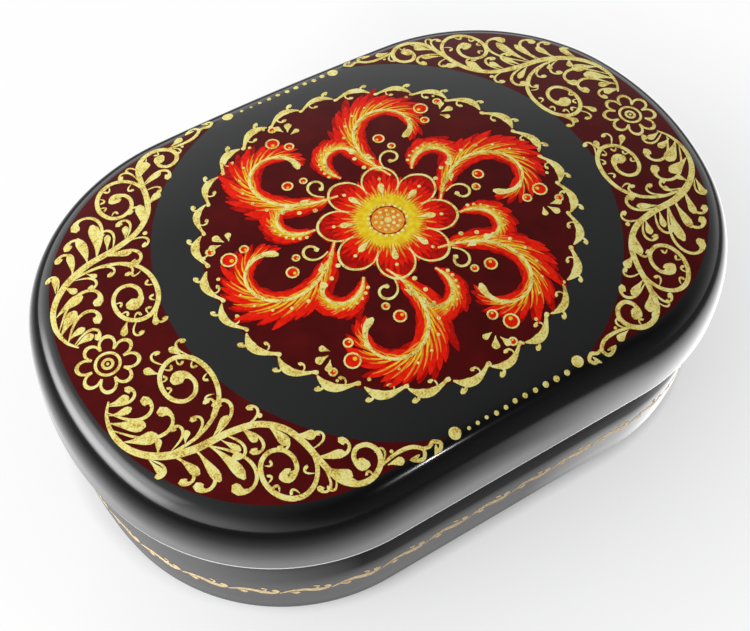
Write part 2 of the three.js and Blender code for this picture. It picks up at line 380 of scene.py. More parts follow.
# Painted shade: the body's gloss fades out from mid-height up to the seam, but not at its left
# end.
towards_seam = add_node(black, "MapRange", (black_z, 7.6 * mm, 11.0 * mm))
below_seam = add_node(black, "MapRange", (black_z, 17.85 * mm, 17.75 * mm))
painted_shade_side = add_node(black, "MapRange", (black_x, -42 * mm, -24 * mm))
painted_shade_band = add_node(black, "Math", (towards_seam, below_seam), operation="MULTIPLY")
painted_shade_mask = add_node(black, "Math", (painted_shade_band, painted_shade_side), operation="MULTIPLY")
black_level = add_node(black, "MapRange", (painted_shade_mask, 0, 1, 0.5, 0.03))
black_coat = add_node(black, "MapRange", (painted_shade_mask, 0, 1, 0.3, 0))
black_shader = add_node(black, "BsdfPrincipled", {
    "Base Color": black_colour, "Roughness": black_gloss, "IOR": 1.52,
    "Specular IOR Level": black_level, "Coat Weight": black_coat, "Coat Roughness": 0.10,
    "Coat IOR": 1.5, "Normal": hairline_bump, "Coat Normal": waver_bump})
add_node(black, "OutputMaterial", {"Surface": black_shader})

floor_fillet = 1.2 * mm


def turned_edge(last, steps):
    """The body's upper edge leans in towards the seam, from its steepest turn down to upright."""
    turns = [radians(last * (steps - i) / steps) for i in range(steps + 1)]
    return [(body_setback + edge_turn * (1 - cos(t)),
             edge_start_z + edge_height * sin(t)) for t in turns]


# From the floor's fillet up the wall's inside, over the rim, down the upper edge that leans in
# under the lid, and round the foot.
body_profile = (
    arc((wall + floor_fillet, floor_z + floor_fillet), floor_fillet, 270, 180, 5)
    + [(wall, floor_z + 1.7 * mm), (wall, body_rim_z - 0.8 * mm)]
    + arc((wall - rim_round, body_rim_z - rim_round), rim_round, 0, 90, 4)
    + [(wall - 0.8 * mm, body_rim_z), (2.3 * mm, body_rim_z), (2.1 * mm, body_rim_z - 0.05 * mm)]
    + turned_edge(60, 9)
    + [(body_setback, edge_start_z - 0.4 * mm), (body_setback, 6.5 * mm),
       (body_setback + 0.04 * mm, 4.5 * mm), (body_setback + 0.13 * mm, 2.7 * mm)]
    + arc((body_setback + foot_round + foot_lean, foot_round), foot_round, 170, 270, 5))
body_shell = trace("body_shell", body_profile)
sweep_outline(body_shell)
close_with_rings(body_shell, lambda p: near(p.z, floor_z))
close_with_rings(body_shell, lambda p: near(p.z, 0))
tidy_mesh(body_shell)

# The hinge's room, as in the CAD source: a wedge along the rear edge, a round channel for the
# barrel and a slot for the leaves.
hinge_y = 32.75 * mm
hinge_span = 32 * mm
bevel_angle = radians(51)
bevel_reach = 2.25 * mm
barrel_room = 1.55 * mm
slot_low = Vector((-16.2 * mm, 31.3 * mm, seam_z - 6.2 * mm))
slot_high = Vector((16.2 * mm, 32.3 * mm, seam_z + 6.2 * mm))
wedge_rise = bevel_reach * tan(bevel_angle)
bevel_cutter = block(Vector((-half_length, hinge_y, seam_z - wedge_rise)),
                     Vector((half_length, hinge_y + bevel_reach, seam_z + wedge_rise)))
select_where(bevel_cutter, lambda p: near(p.y, hinge_y))
ops.transform.resize(value=(1, 1, 0), center_override=(0, hinge_y, seam_z))
ops.object.mode_set(mode="OBJECT")
tidy_mesh(bevel_cutter)
slot_cutter = block(slot_low, slot_high)
ops.mesh.primitive_cylinder_add(vertices=32, radius=barrel_room, depth=hinge_span + 0.6 * mm,
                                location=(0, hinge_y, seam_z), rotation=(0, pi / 2, 0))
barrel_cutter = bpy.context.object
ops.object.transform_apply()
hinge_cutters = [bevel_cutter, slot_cutter, barrel_cutter]


def finish_shell(made):
    """Takes the hinge's room out of a shell and coats it in its lacquer."""
    for cutter in hinge_cutters:
        apply_modifier(made, "BOOLEAN", operation="DIFFERENCE", solver="EXACT", object=cutter)
    tidy_mesh(made)
    made.data.materials.append(black)


finish_shell(body_shell)
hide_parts("base_board", "body_wall")
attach(body_shell, "box")


# Lid shell: the same wound wall, closed by a pressed top board with a low crown and a rolled
# edge, all in the same black lacquer.
lid_rim_z = 17.95 * mm
seat_z = 25.1 * mm
board_rise = 6.9 * mm
crown_drop = 3.35 * mm
lid_growth = 0.7 * mm
roll = 4.8 * mm
roll_start_z = 19.0 * mm
roll_power = 2.5
ceiling_rise = 3.5 * mm


def lid_height(x, y):
    """Height of the lid's top over a point: a low crown that rolls over at the edge."""
    crown = board_rise - crown_drop * ((x / half_length) ** 2 + (y / half_width) ** 2)
    inset = min(max(outline_inset(x, y) + lid_growth, 0), roll)
    share = (1 - (1 - inset / roll) ** roll_power) ** (1 / roll_power)
    return roll_start_z + (seat_z - roll_start_z + crown) * share


def ceiling_height(x, y):
    """Height of the lid's hollow underside over a point."""
    reach = (x / (half_length - wall)) ** 2 + (y / (half_width - wall)) ** 2
    return seat_z + ceiling_rise * max(0, 1 - reach)


flat_top_z = seat_z + 3 * mm


def roll_profile(steps):
    """The rolled edge before the crown bends it: even in angle, so fine where it turns most."""
    turns = [i * pi / 2 / steps for i in range(steps)]
    return [(roll * (1 - cos(t) ** (2 / roll_power)) - lid_growth,
             roll_start_z + (flat_top_z - roll_start_z) * sin(t) ** (2 / roll_power))
            for t in turns] + [(roll - lid_growth, flat_top_z)]


def under_edge(steps):
    """The lid's lower edge, eased in under the side."""
    turns = [pi / 2 * (steps - i) / steps for i in range(steps + 1)]
    return [(0.45 * mm * (1 - cos(t)) - lid_growth,
             lid_rim_z + 0.9 * mm * (1 - sin(t))) for t in turns]


# From the ceiling down the wall's inside, over the rim, and up the eased edge to the roll.
lid_profile = (
    [(wall, seat_z), (wall, lid_rim_z + 0.8 * mm)]
    + arc((wall - rim_round, lid_rim_z + rim_round), rim_round, 360, 270, 4)
    + [(wall - 0.8 * mm, lid_rim_z), (0.3 * mm, lid_rim_z)]
    + under_edge(7)
    + roll_profile(22))
lid_shell = trace("lid_shell", lid_profile)
sweep_outline(lid_shell)
close_with_rings(lid_shell, lambda p: near(p.z, seat_z) and outline_inset(p.x, p.y) > 2 * mm)
close_with_rings(lid_shell, lambda p: near(p.z, flat_top_z), rings=18)
for vertex in lid_shell.data.vertices:
    x, y, z = vertex.co
    inset = outline_inset(x, y)
    if z > seat_z + 0.1 * mm or (z > roll_start_z and inset < wall / 2):
        vertex.co.z = lid_height(x, y)
    elif near(z, seat_z) and inset > wall / 2:
        vertex.co.z = ceiling_height(x, y)
tidy_mesh(lid_shell)
finish_shell(lid_shell)
for cutter in hinge_cutters:
    bpy.data.objects.remove(cutter)
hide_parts("lid_wall", "lid_board")
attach(lid_shell, "lid")


# Linings: the inside of the body and of the lid, coated in red lacquer over the same board. Each
# is a film that starts just inside the black rim.
lining_film = 0.16 * mm
lining_gap = 0.05 * mm
lining_inset = wall + lining_gap
lining_floor_z = floor_z + lining_gap
lining_top_z = seat_z - lining_gap

# Polished red lacquer: deep vermilion, glossy, slightly darker in clouds where it is thick.
red, place = new_material("polished_red_lacquer")
clouds = add_noise(red, place, 7, 4)
cloud_colour = add_node(red, "ValToRGB", (clouds,), ((0.3, "#8e120c"), (0.7, "#a91a10")))
brush_marks = add_noise(red, place, 3, 3)
brush_bump = add_bump(red, brush_marks, 0.3, 0.05)
red_shader = add_node(red, "BsdfPrincipled", {
    "Base Color": cloud_colour, "Roughness": 0.16, "IOR": 1.5, "Coat Weight": 0.4,
    "Coat Roughness": 0.08, "Normal": brush_bump})
add_node(red, "OutputMaterial", {"Surface": red_shader})

body_lining = trace("body_lining", (
    [(lining_inset, body_rim_z - 0.6 * mm), (lining_inset, floor_z + 1.8 * mm)]
    + arc((lining_inset + floor_fillet, lining_floor_z + floor_fillet), floor_fillet,
          180, 270, 5)))
sweep_outline(body_lining)
close_with_rings(body_lining, lambda p: near(p.z, lining_floor_z))

lid_lining = trace("lid_lining", (
    [(lining_inset, lid_rim_z + 0.6 * mm), (lining_inset, seat_z - 1.6 * mm)]
    + arc((lining_inset + floor_fillet, lining_top_z - floor_fillet), floor_fillet, 180, 90, 5)))
sweep_outline(lid_lining)
close_with_rings(lid_lining, lambda p: near(p.z, lining_top_z))
for vertex in lid_lining.data.vertices:
    x, y, z = vertex.co
    if near(z, lining_top_z):
        vertex.co.z = ceiling_height(x, y) - lining_gap
for lining, body in ((body_lining, "box"), (lid_lining, "lid")):
    tidy_mesh(lining)
    apply_modifier(lining, "SOLIDIFY", thickness=lining_film, offset=0)
    tidy_mesh(lining, 40)
    lining.data.materials.append(red)
    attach(lining, body)


# Hinge: two brass leaves with rolled knuckles, a rod and six nails. The CAD solids are shown as
# they are, in brass.

# Rolled sheet brass, slightly toned: warm yellow metal with fine rolling lines along the hinge
# and browner patches where fingers and air have toned it.
brass, place = new_material("rolled_brass")
rolling = add_node(brass, "Mapping", {"Vector": place, "Scale": (0.06, 1, 1)})
rolling_lines = add_noise(brass, rolling, 0.15, 3)
rolling_bump = add_bump(brass, rolling_lines, 0.25, 0.02)
toning = add_noise(brass, place, 3, 5)
tone = add_node(brass, "ValToRGB", (toning,), ((0.35, "#8a6a34"), (0.65, "#c9a85e")))
brass_gloss = add_node(brass, "MapRange", (toning, 0.3, 0.7, 0.42, 0.28))
brass_shader = add_node(brass, "BsdfPrincipled", {
    "Base Color": tone, "Metallic": 1, "Roughness": brass_gloss, "Normal": rolling_bump})
add_node(brass, "OutputMaterial", {"Surface": brass_shader})
for node_name, node_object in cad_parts.items():
    if "hinge" in node_name or "nail" in node_name:
        for material_slot in node_object.material_slots:
            material_slot.material = brass


# Maroon grounds: two crescent panels at the lid's ends and the round ground of the middle,
# painted flat on the black before the ornament.
paint_film = 0.012 * mm
ground_lift = 0.006 * mm
panel_inset = 3.5 * mm
panel_hollow = 32.2 * mm
panel_tip_x = sqrt(panel_hollow ** 2 - (half_width - panel_inset) ** 2)
disc_radius = 25.6 * mm


def film_side(z):
    """1 on the upper side of flat paint, -1 on its underside, 0 between them."""
    return (z > merge_gap) - (z < -merge_gap)


def lay_on_lid(made, lift):
    """Lays flat paint on the lid's top. Its upper points end a film's thickness above the lift."""
    for vertex in made.data.vertices:
        x, y, z = vertex.co
        vertex.co.z = lid_height(x, y) + lift + film_side(z) * paint_film


def finish_paint(made, material, body):
    """The last steps for each painted piece."""
    made.data.materials.append(material)
    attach(made, body)


# Maroon paint under clear lacquer: dark wine red, a little uneven where the brush overlapped.
maroon, place = new_material("maroon_tempera_lacquered")
maroon_clouds = add_noise(maroon, place, 4, 5)
maroon_colour = add_node(maroon, "ValToRGB", (maroon_clouds,), (
    (0.3, "#48090a"), (0.7, "#5b0d0e")))
maroon_waver = add_noise(maroon, place, 9, 1)
maroon_bump = add_bump(maroon, maroon_waver, 0.35, 0.10)
maroon_shader = add_node(maroon, "BsdfPrincipled", {
    "Base Color": maroon_colour, "Roughness": 0.22, "IOR": 1.45, "Specular IOR Level": 0.2,
    "Specular Tint": linear("#ff9c94"), "Coat Weight": 0.06, "Coat Roughness": 0.07,
    "Coat IOR": 1.5, "Normal": maroon_bump, "Coat Normal": maroon_bump})
add_node(maroon, "OutputMaterial", {"Surface": maroon_shader})

# A panel's outer edge follows the outline and its inner edge is round: two chains of edges with
# as many steps, bridged.
panel_steps = (6, 26, 5)
panels = trace("maroon_panels", [(panel_inset, 0)])
spin_end(panel_steps[0], panel_steps[1])
for _ in range(panel_steps[2]):
    step = ((panel_tip_x - corner_x) / panel_steps[2], 0, 0)
    ops.mesh.extrude_vertices_move(TRANSFORM_OT_translate={"value": step})
ops.mesh.select_all(action="DESELECT")
ops.mesh.primitive_plane_add(size=mm, location=(panel_hollow, 0, 0))
ops.mesh.merge(type="CENTER")
ops.mesh.spin(steps=sum(panel_steps), angle=-acos(panel_tip_x / panel_hollow),
              center=(0, 0, 0), axis=(0, 0, 1))
ops.mesh.select_all(action="SELECT")
ops.mesh.bridge_edge_loops(number_cuts=10, interpolation="LINEAR")
mirror_quarter(panels)

ops.mesh.primitive_circle_add(vertices=128, radius=disc_radius, fill_type="NOTHING")
disc = bpy.context.object
disc.name = "maroon_disc"
close_with_rings(disc, lambda p: True, rings=14)
for ground in (panels, disc):
    tidy_mesh(ground)
    apply_modifier(ground, "SOLIDIFY", thickness=2 * paint_film, offset=0)
    lay_on_lid(ground, ground_lift)
    tidy_mesh(ground)
    finish_paint(ground, maroon, "lid")


# Gold scrollwork: stems, spiral scrolls, curls and drops laid on the maroon panels with a
# fine brush, stroke by stroke. One quarter is drawn in millimetres and repeated one by one in
# each of the four, so no two are quite alike.
gold_lift = 0.030 * mm
curl_pressure = [
    (0, .06), (.25, .17), (.6, .25), (.8, .21), (.87, .38), (.93, .68), (.97, .7), (1, .3)]
scroll_pressure = [
    (0, .1), (.12, .25), (.35, .34), (.75, .28), (.87, .29), (.935, .84), (.97, .95), (1, .45)]
stem_pressure = [
    (0, .12), (.1, .34), (.22, .52), (.35, .42), (.6, .37), (.85, .3), (.91, .3), (.95, .76),
    (.98, .84), (1, .4)]
drop_pressure = [(0, .06), (.3, .34), (.6, .84), (.78, 1.0), (.92, .78), (1, .25)]


def pressed(path, pressure, scale=1.0):
    """A stroke: the path with the half width that the brush's pressure gives at each point."""
    stroke = []
    for i, (x, y) in enumerate(path):
        t = i / (len(path) - 1)
        for (t0, w0), (t1, w1) in zip(pressure, pressure[1:]):
            if t <= t1:
                stroke.append((x, y, scale * (w0 + (w1 - w0) * (t - t0) / (t1 - t0))))
                break
    return stroke


def smooth_path(points, steps=5):
    """A smooth path through points (Catmull-Rom)."""
    path = []
    for i in range(len(points) - 1):
        a, b, c, d = (points[j] for j in (max(i - 1, 0), i, i + 1, min(i + 2, len(points) - 1)))
        for k in range(steps):
            t = k / steps
            path.append(tuple(
                0.5 * (2 * q + (r - p) * t + (2 * p - 5 * q + 4 * r - s) * t * t
                       + (3 * q - p - 3 * r + s) * t ** 3) for p, q, r, s in zip(a, b, c, d)))
    return path + [tuple(points[-1])]


def curl_path(x, y, heading, length, turn, steps, tightening):
    """A path that leaves a point at a heading, in degrees, and turns more and more tightly."""
    path = [(x, y)]
    for i in range(steps):
        angle = radians(heading + turn * ((i + 0.5) / steps) ** tightening)
        x += cos(angle) * length / steps
        y += sin(angle) * length / steps
        path.append((x, y))
    return path


def curl_stroke(x, y, heading, length, side):
    """A curl that winds up at its end. A short one is thinner."""
    steps = 12 if length < 2.5 else 22
    return pressed(curl_path(x, y, heading, length, 250 * side, steps, 2.9), curl_pressure,
                   min(1.0, max(0.6, 0.3 + length / 10)))


def drop_stroke(x, y, heading, length, width, bend=0):
    """A drop: thin where it starts and full at its end."""
    return pressed(curl_path(x, y, heading, length, bend, 8, 1.0), drop_pressure, 1.15 * width)


def circle_path(x, y, radius, steps):
    """A circle, from its right side round to there again."""
    angles = [i * 2 * pi / steps for i in range(steps + 1)]
    return [(x + radius * cos(a), y + radius * sin(a)) for a in angles]


def dot_stroke(x, y, radius):
    """A dot of the brush's tip: one short round stroke."""
    half_chords = [(-1, .05), (-.88, .48), (-.5, .87), (0, 1), (.5, .87), (.88, .48), (1, .05)]
    return [(x + radius * t, y, radius * w) for t, w in half_chords]


def paint_strokes(name, strokes):
    """A mesh of flat brush strokes, each a row of (x, y, half width) in millimetres."""
    curve = bpy.data.curves.new(name, "CURVE")
    curve.dimensions = "3D"
    curve.twist_mode = "Z_UP"
    curve.bevel_depth = mm
    curve.bevel_resolution = 0
    curve.use_fill_caps = True
    for stroke in strokes:
        spline = curve.splines.new("POLY")
        spline.points.add(len(stroke) - 1)
        for point, (x, y, half) in zip(spline.points, stroke):
            point.co = (x * mm, y * mm, 0, 1)
            point.radius = half
    made = bpy.data.objects.new(name, curve)
    scene.collection.objects.link(made)
    take_alone(made)
    ops.object.convert(target="MESH")
    return made


stem = [
    (43.7, 4.6), (44.8, 6.4), (45.1, 9.2), (44.0, 12.2), (41.4, 14.6), (37.6, 16.0), (33.4, 16.3),
    (29.6, 17.2), (27.0, 19.4), (25.8, 22.2), (25.2, 25.4), (24.4, 28.4), (22.7, 30.0),
    (20.7, 30.2), (19.1, 29.2), (18.6, 27.7), (19.3, 26.4), (20.7, 26.1), (21.6, 27.1),
    (21.2, 28.2), (20.4, 27.9)]
large_scroll = [
    (42.6, 13.9), (40.2, 14.9), (36.6, 14.8), (33.7, 13.6), (32.0, 11.9), (31.2, 9.8), (31.2, 7.4),
    (32.0, 5.2), (33.5, 3.9), (35.2, 3.8), (36.7, 4.9), (37.3, 6.8), (36.9, 8.7), (35.6, 9.8),
    (34.1, 9.5), (33.4, 8.2), (33.8, 6.8), (34.9, 6.4), (35.3, 7.3)]
small_scroll = [
    (26.2, 21.0), (25.6, 23.2), (25.8, 25.4), (26.9, 27.1), (28.6, 27.9), (30.4, 27.5),
    (31.8, 26.0), (32.3, 23.9), (31.6, 21.9), (30.1, 21.1), (28.5, 21.7), (27.8, 23.2),
    (28.2, 24.7), (29.4, 25.0), (29.8, 24.0)]
tails = [[(19.3, 29.6), (17.8, 29.2), (16.2, 29.1), (14.7, 29.4), (13.7, 30.3), (14.1, 31.2),
          (15.0, 31.1), (15.1, 30.5)],
         [(13.9, 30.0), (13.0, 30.4), (12.1, 30.1), (11.4, 30.7), (11.9, 31.3), (12.5, 31.0)]]
# Each curl: where it starts, its heading in degrees, its length, and 1 or -1 for its turn.
curls = [
    (42.7, 14.3, 128, 4.3, -1), (40.0, 15.5, 120, 6.2, -1), (37.6, 16.1, 112, 8.0, -1),
    (36.2, 16.2, 132, 12.6, -1), (33.6, 16.4, 126, 5.6, -1), (31.2, 16.9, 130, 5.4, -1),
    (28.0, 18.6, 118, 5.0, -1), (34.6, 16.0, 196, 7.4, 1), (31.2, 16.6, 186, 4.6, 1),
    (25.4, 23.6, 182, 3.6, 1), (25.1, 25.0, 150, 6.2, 1), (25.3, 26.2, 88, 4.4, -1),
    (24.6, 28.0, 70, 2.6, -1), (40.0, 14.8, 196, 5.2, 1), (37.0, 14.7, 200, 4.4, 1),
    (33.9, 13.4, 222, 3.6, 1), (44.6, 5.9, 126, 9.0, 1), (45.0, 8.2, 126, 11.8, 1),
    (35.6, 4.0, -42, 3.6, -1), (32.4, 4.4, -52, 4.0, -1), (18.9, 29.4, 216, 3.0, 1),
    (37.1, 7.8, 190, 1.3, 1), (37.0, 6.0, 170, 1.4, 1), (35.9, 4.5, 130, 1.5, 1),
    (34.0, 4.1, 80, 1.5, 1), (32.3, 5.4, 50, 1.6, 1), (31.6, 8.0, 20, 1.6, 1),
    (32.0, 10.9, -20, 2.0, 1), (32.0, 24.4, 190, 1.4, 1), (31.4, 26.2, 235, 1.6, 1),
    (29.4, 27.5, 285, 1.7, 1), (26.5, 26.2, -30, 2.2, -1), (31.2, 22.2, 140, 1.3, 1),
    (22.6, 29.7, -60, 1.6, 1), (20.6, 29.9, 265, 1.3, 1), (44.0, 5.2, 150, 5.4, 1)]
# Each drop: where it starts, its heading, its length, its width and how far it bends, in degrees.
drops = [
    (42.9, 14.2, 108, 3.0, .42, 0), (39.8, 15.7, 106, 3.6, .5, 0), (37.3, 16.2, 98, 5.0, .55, 0),
    (36.0, 16.4, 118, 6.4, .66, -25), (34.2, 16.6, 116, 2.8, .45, 0),
    (31.4, 17.0, 114, 2.5, .45, 0), (28.4, 18.0, 108, 3.6, .6, 0), (34.8, 15.8, 206, 3.2, .48, 0),
    (26.2, 20.8, 140, 2.6, .55, 20), (25.1, 24.6, 158, 3.2, .46, 0),
    (24.6, 26.6, 132, 2.8, .62, 0), (44.9, 7.4, 138, 4.4, .75, 15), (44.4, 10.6, 150, 4.4, .7, 25),
    (44.4, 6.4, 150, 2.8, .5, 30), (41.6, 14.3, 236, 2.0, .42, 0), (43.9, 4.9, 158, 2.6, .5, 25),
    (36.6, 4.6, -38, 2.3, .45, -20), (33.2, 4.0, -75, 2.2, .42, 15), (38.2, 14.8, 236, 1.6, .4, 0),
    (18.6, 29.7, 175, 2.2, .5, -20)]
panel_dots = [(28.7, 16.4, .34), (17.2, 28.6, .24)]
flower_centres = {-1: (-41.55, 0.28), 1: (42.15, -0.18)}
flower_petals = 8


def panel_quarter(hand):
    """The strokes of one quarter, each a little off, as a hand would have it."""
    strokes = [pressed(smooth_path(stem), stem_pressure)]
    for path in (large_scroll, small_scroll):
        strokes.append(pressed(smooth_path(path), scroll_pressure))
    strokes += [pressed(smooth_path(path), scroll_pressure, 0.8) for path in tails]
    for x, y, heading, length, side in curls:
        strokes.append(curl_stroke(x + hand(-.12, .12), y + hand(-.12, .12), heading + hand(-6, 6),
                                   length * hand(.95, 1.04), side))
    for x, y, heading, length, width, bend in drops:
        strokes.append(drop_stroke(x + hand(-.12, .12), y + hand(-.12, .12), heading + hand(-5, 5),
                                   length * hand(.93, 1.06), width * hand(.9, 1.15), bend))
    return strokes + [dot_stroke(*dot) for dot in panel_dots]


def panel_flower(x, y, hand):
    """A round flower: eight outlined petals, two rings and a dot."""
    strokes = []
    sector = 2 * pi / flower_petals
    for k in range(flower_petals):
        petal = []
        reach = 1.75 * hand(.88, 1.08)
        for i in range(13):
            angle = (k + i / 12) * sector
            radius = 2.2 + reach * max(0, sin(pi * i / 12)) ** .5
            petal.append((x + radius * cos(angle), y + radius * sin(angle)))
        strokes.append(pressed(petal, [(0, .16), (.5, .28), (1, .16)]))
    for radius in (1.6, .66):
        strokes.append(pressed(circle_path(x, y, radius, 24), [(0, .2), (1, .2)]))
    return strokes + [dot_stroke(x, y, .22)]


# Gold powder in clear varnish: pale yellow flakes that catch the light in specks, thinner and
# browner here and there where the brush ran dry.
gold, place = new_material("gold_powder_paint")
flakes = add_noise(gold, place, 0.22, 2)
dry_spots = add_noise(gold, place, 1.3, 3)
grain_sum = add_node(gold, "Math", (flakes, dry_spots), operation="ADD")
grain = add_node(gold, "Math", (grain_sum, 0.5), operation="MULTIPLY")
grain_colour = add_node(gold, "ValToRGB", (grain,), (
    (0.36, "#c2993f"), (0.49, "#fdeb80"), (0.64, "#fffcb6")))
flake_bump = add_bump(gold, flakes, 0.5, 0.03)
gold_shader = add_node(gold, "BsdfPrincipled", {
    "Base Color": grain_colour, "Metallic": 0.1, "Roughness": 0.4, "Specular IOR Level": 0.3,
    "Coat Weight": 0.05, "Coat Roughness": 0.15, "Normal": flake_bump})
add_node(gold, "OutputMaterial", {"Surface": gold_shader})


def paint_lid(name, strokes, lift=gold_lift, material=gold):
    """Paints strokes on the lid, with smooth backs and clean edges."""
    made = paint_strokes(name, strokes)
    lay_on_lid(made, lift)
    tidy_mesh(made, 40)
    finish_paint(made, material, "lid")


for side, name in ((-1, "gold_scrolls_left"), (1, "gold_scrolls_right")):
    hand = Random(11 + side).uniform
    strokes = []
    for end in (-1, 1):
        strokes += [[(side * x, end * y, half) for x, y, half in stroke]
                    for stroke in panel_quarter(hand)]
    strokes += panel_flower(*flower_centres[side], hand)
    paint_lid(name, strokes)


# Gold border: a ring of leaf strokes in gold powder paint round the middle, each with one hook
# outside the ring and one inside. They are painted one by one, so they vary a little.
border_radius = 25.65
border_leaves = 28
hand = Random(5).uniform
strokes = []


def turned(stroke, angle):
    """A stroke turned about the middle of the lid."""
    c, s = cos(angle), sin(angle)
    return [(x * c - y * s, x * s + y * c, half) for x, y, half in stroke]


def on_border(points):
    """A smooth path by the ring, at its +X side, through points given along it and outwards."""
    return smooth_path([((border_radius + out) * cos(way / border_radius),
                         (border_radius + out) * sin(way / border_radius))
                        for way, out in points], 3)


leaf_pressure = [
    (0, .08), (.14, .3), (.32, .6), (.5, .5), (.68, .26), (.82, .2), (.93, .34), (1, .16)]
hook_pressure = [(0, .1), (.4, .14), (.65, .2), (.85, .36), (.95, .34), (1, .16)]
border_strokes = (
    (on_border([(-.2, -.35), (.5, .1), (1.3, .45), (2.3, .55), (3.3, .25), (4.2, -.2), (4.9, -.62),
                (5.5, -.75)]), leaf_pressure, .88, 1.12),
    (on_border([(3.3, .2), (3.6, -.4), (3.35, -.95), (2.85, -1.0), (2.7, -.72)]),
     hook_pressure, .8, 1.0),
    (on_border([(.35, -.05), (.95, .45), (1.0, 1.05), (.6, 1.35), (.25, 1.15)]),
     hook_pressure, 1.0, 1.25))
for k in range(border_leaves):
    angle = (k + hand(-.05, .05)) * 2 * pi / border_leaves
    for path, pressure, thin, full in border_strokes:
        strokes.append(turned(pressed(path, pressure, hand(thin, full)), angle))
paint_lid("gold_border", strokes)


# Gold dots: along each long edge, where the panels' tips nearly meet, a row of small dots between
# two large ones, set down in gold powder paint with the brush's tip.
hand = Random(3).uniform
strokes = []
for large, first, count, gap, growth in (
        (((-9.2, -30.5), (9.9, -30.1)), (-7.3, -30.75), 11, 1.32, .042),
        (((-8.9, 30.4), (8.9, 30.2)), (-6.6, 30.25), 10, 1.53, 0)):
    strokes += [dot_stroke(x, y, .82) for x, y in large]
    for i in range(count):
        strokes.append(dot_stroke(first[0] + gap * i + growth * i * (i - 1) / 2,
                                  first[1] + hand(-.1, .1),
                                  .24 + .2 * i / count + hand(-.03, .04)))
paint_lid("gold_dots", strokes)


# Middle painting: a flower with curling leaves, berries and tendrils, built up from deep red over
# red, orange and yellow to gold, each colour a layer of fine tapered strokes on the maroon ground.
hand = Random(21).uniform
whorl_leaves = 6
barb_pressure = [(0, .12), (.3, .8), (.6, 1.0), (.85, .6), (1, .12)]
hair_pressure = [(0, .25), (.4, 1.0), (.8, .6), (1, .2)]
medallion = {"deep_red": [], "red": [], "orange": [], "yellow": [], "gold": []}


def along(path, t):
    """The point at a share of a path, and the heading there in degrees."""
    i = min(int(t * (len(path) - 1)), len(path) - 2)
    f = t * (len(path) - 1) - i
    (x0, y0), (x1, y1) = path[i], path[i + 1]
    return x0 + (x1 - x0) * f, y0 + (y1 - y0) * f, degrees(atan2(y1 - y0, x1 - x0))


def barbs(spine, side, size, count, reach, lean, half, bend, pressure, end=.95):
    """A comb of strokes along one side of a spine: long in its middle, short at its ends."""
    comb = []
    for i in range(count):
        t = .03 + (end - .03) * (i + .5) / count
        x, y, heading = along(spine, t)
        swell = sin(pi * min(1, t * 1.02) ** .8)
        length = reach * size * (.25 + .75 * swell) * hand(.84, 1.1)
        heading += side * (lean + hand(-5, 5))
        comb.append(pressed(curl_path(x, y, heading, length, side * bend, 7, 1.0), pressure,
                            half * (.5 + .5 * swell)))
    return comb


# A leaf's combs: the colour and pressure, the outer and the inner comb's count, reach, lean in
# degrees, half width and bend, and the share of the rib where the inner one ends.
leaf_combs = (
    ("deep_red", barb_pressure, (17, 7.1, 38, .8, -34), (15, 5.4, 36, .7, -15), .82),
    ("red", barb_pressure, (23, 6.7, 34, .62, -34), (17, 4.9, 34, .56, -15), .82),
    ("orange", hair_pressure, (26, 5.2, 30, .17, -34), (15, 3.2, 32, .15, -15), .82),
    ("yellow", hair_pressure, (22, 3.3, 28, .13, -30), (11, 2.0, 28, .12, -15), .7))


def curled_leaf(start, heading, length, turn, size, tightening=1.8):
    """A curling leaf: combs of red, orange and yellow strokes on a gold rib, and a row of dots."""
    rib = curl_path(*start, heading, length, turn, 40, tightening)
    out = -1 if turn > 0 else 1
    leaf = {colour: barbs(rib, out, size, *outer, pressure)
            + barbs(rib, -out, size, *inner, pressure, end)
            for colour, pressure, outer, inner, end in leaf_combs}
    leaf["red"].append(pressed(rib, [(0, .3), (.3, .8), (.7, .5), (1, .2)]))
    leaf["gold"] = [pressed(rib, [(0, .14), (.3, .24), (.8, .2), (.93, .4), (.97, .6), (1, .2)])]
    for i in range(8):
        x, y, angle = along(rib, .14 + .075 * i)
        a = radians(angle + out * 90)
        leaf["gold"].append(dot_stroke(x + 1.5 * size * cos(a), y + 1.5 * size * sin(a),
                                       (.36 - .025 * i) * (.5 + .5 * size)))
    return leaf


def berry(x, y, size):
    """A red berry with a gold rim and a yellow light."""
    return {"red": [dot_stroke(x, y, size)],
            "yellow": [dot_stroke(x - size * .25, y + size * .3, size * .28)],
            "gold": [pressed(circle_path(x, y, size, 12), [(0, .13), (1, .13)])]}


def add_turned(parts, angle):
    """Adds a motif's strokes to the painting, turned about its middle."""
    for colour, strokes in parts.items():
        medallion[colour] += [turned(stroke, angle) for stroke in strokes]


for k in range(whorl_leaves):
    angle = 2 * pi * k / whorl_leaves + hand(-.03, .03)
    add_turned(curled_leaf((8.0, -.6), 50, 26.0, -282, .92), angle)
    add_turned(curled_leaf((9.2, -3.6), -4, 10.4, -215, .5, 1.5), angle)
    tendril = curl_path(9.6, .4, 26, 7.4, -330, 22, 1.6)
    twig = [pressed(tendril, [(0, .1), (.5, .2), (.9, .18), (.96, .42), (1, .15)])]
    twig += [drop_stroke(*drop) for drop in (
        (11.2, 1.6, 66, 1.5, .5), (20.6, -8.4, -60, 1.9, .5), (20.0, -8.2, -110, 1.5, .4),
        (21.2, -8.2, -10, 1.7, .45))]
    twig += [dot_stroke(*dot) for dot in ((19.2, -3.6, .3), (24.0, -3.4, .26), (24.1, -7.4, .22))]
    add_turned({"gold": twig}, angle)
    for x, y, size in ((21.4, -5.4, 1.0), (18.9, -5.9, .62), (22.9, -7.9, .55), (15.2, .9, .8),
                       (13.7, -.9, .5)):
        add_turned(berry(x, y, size * hand(.9, 1.08)), angle)

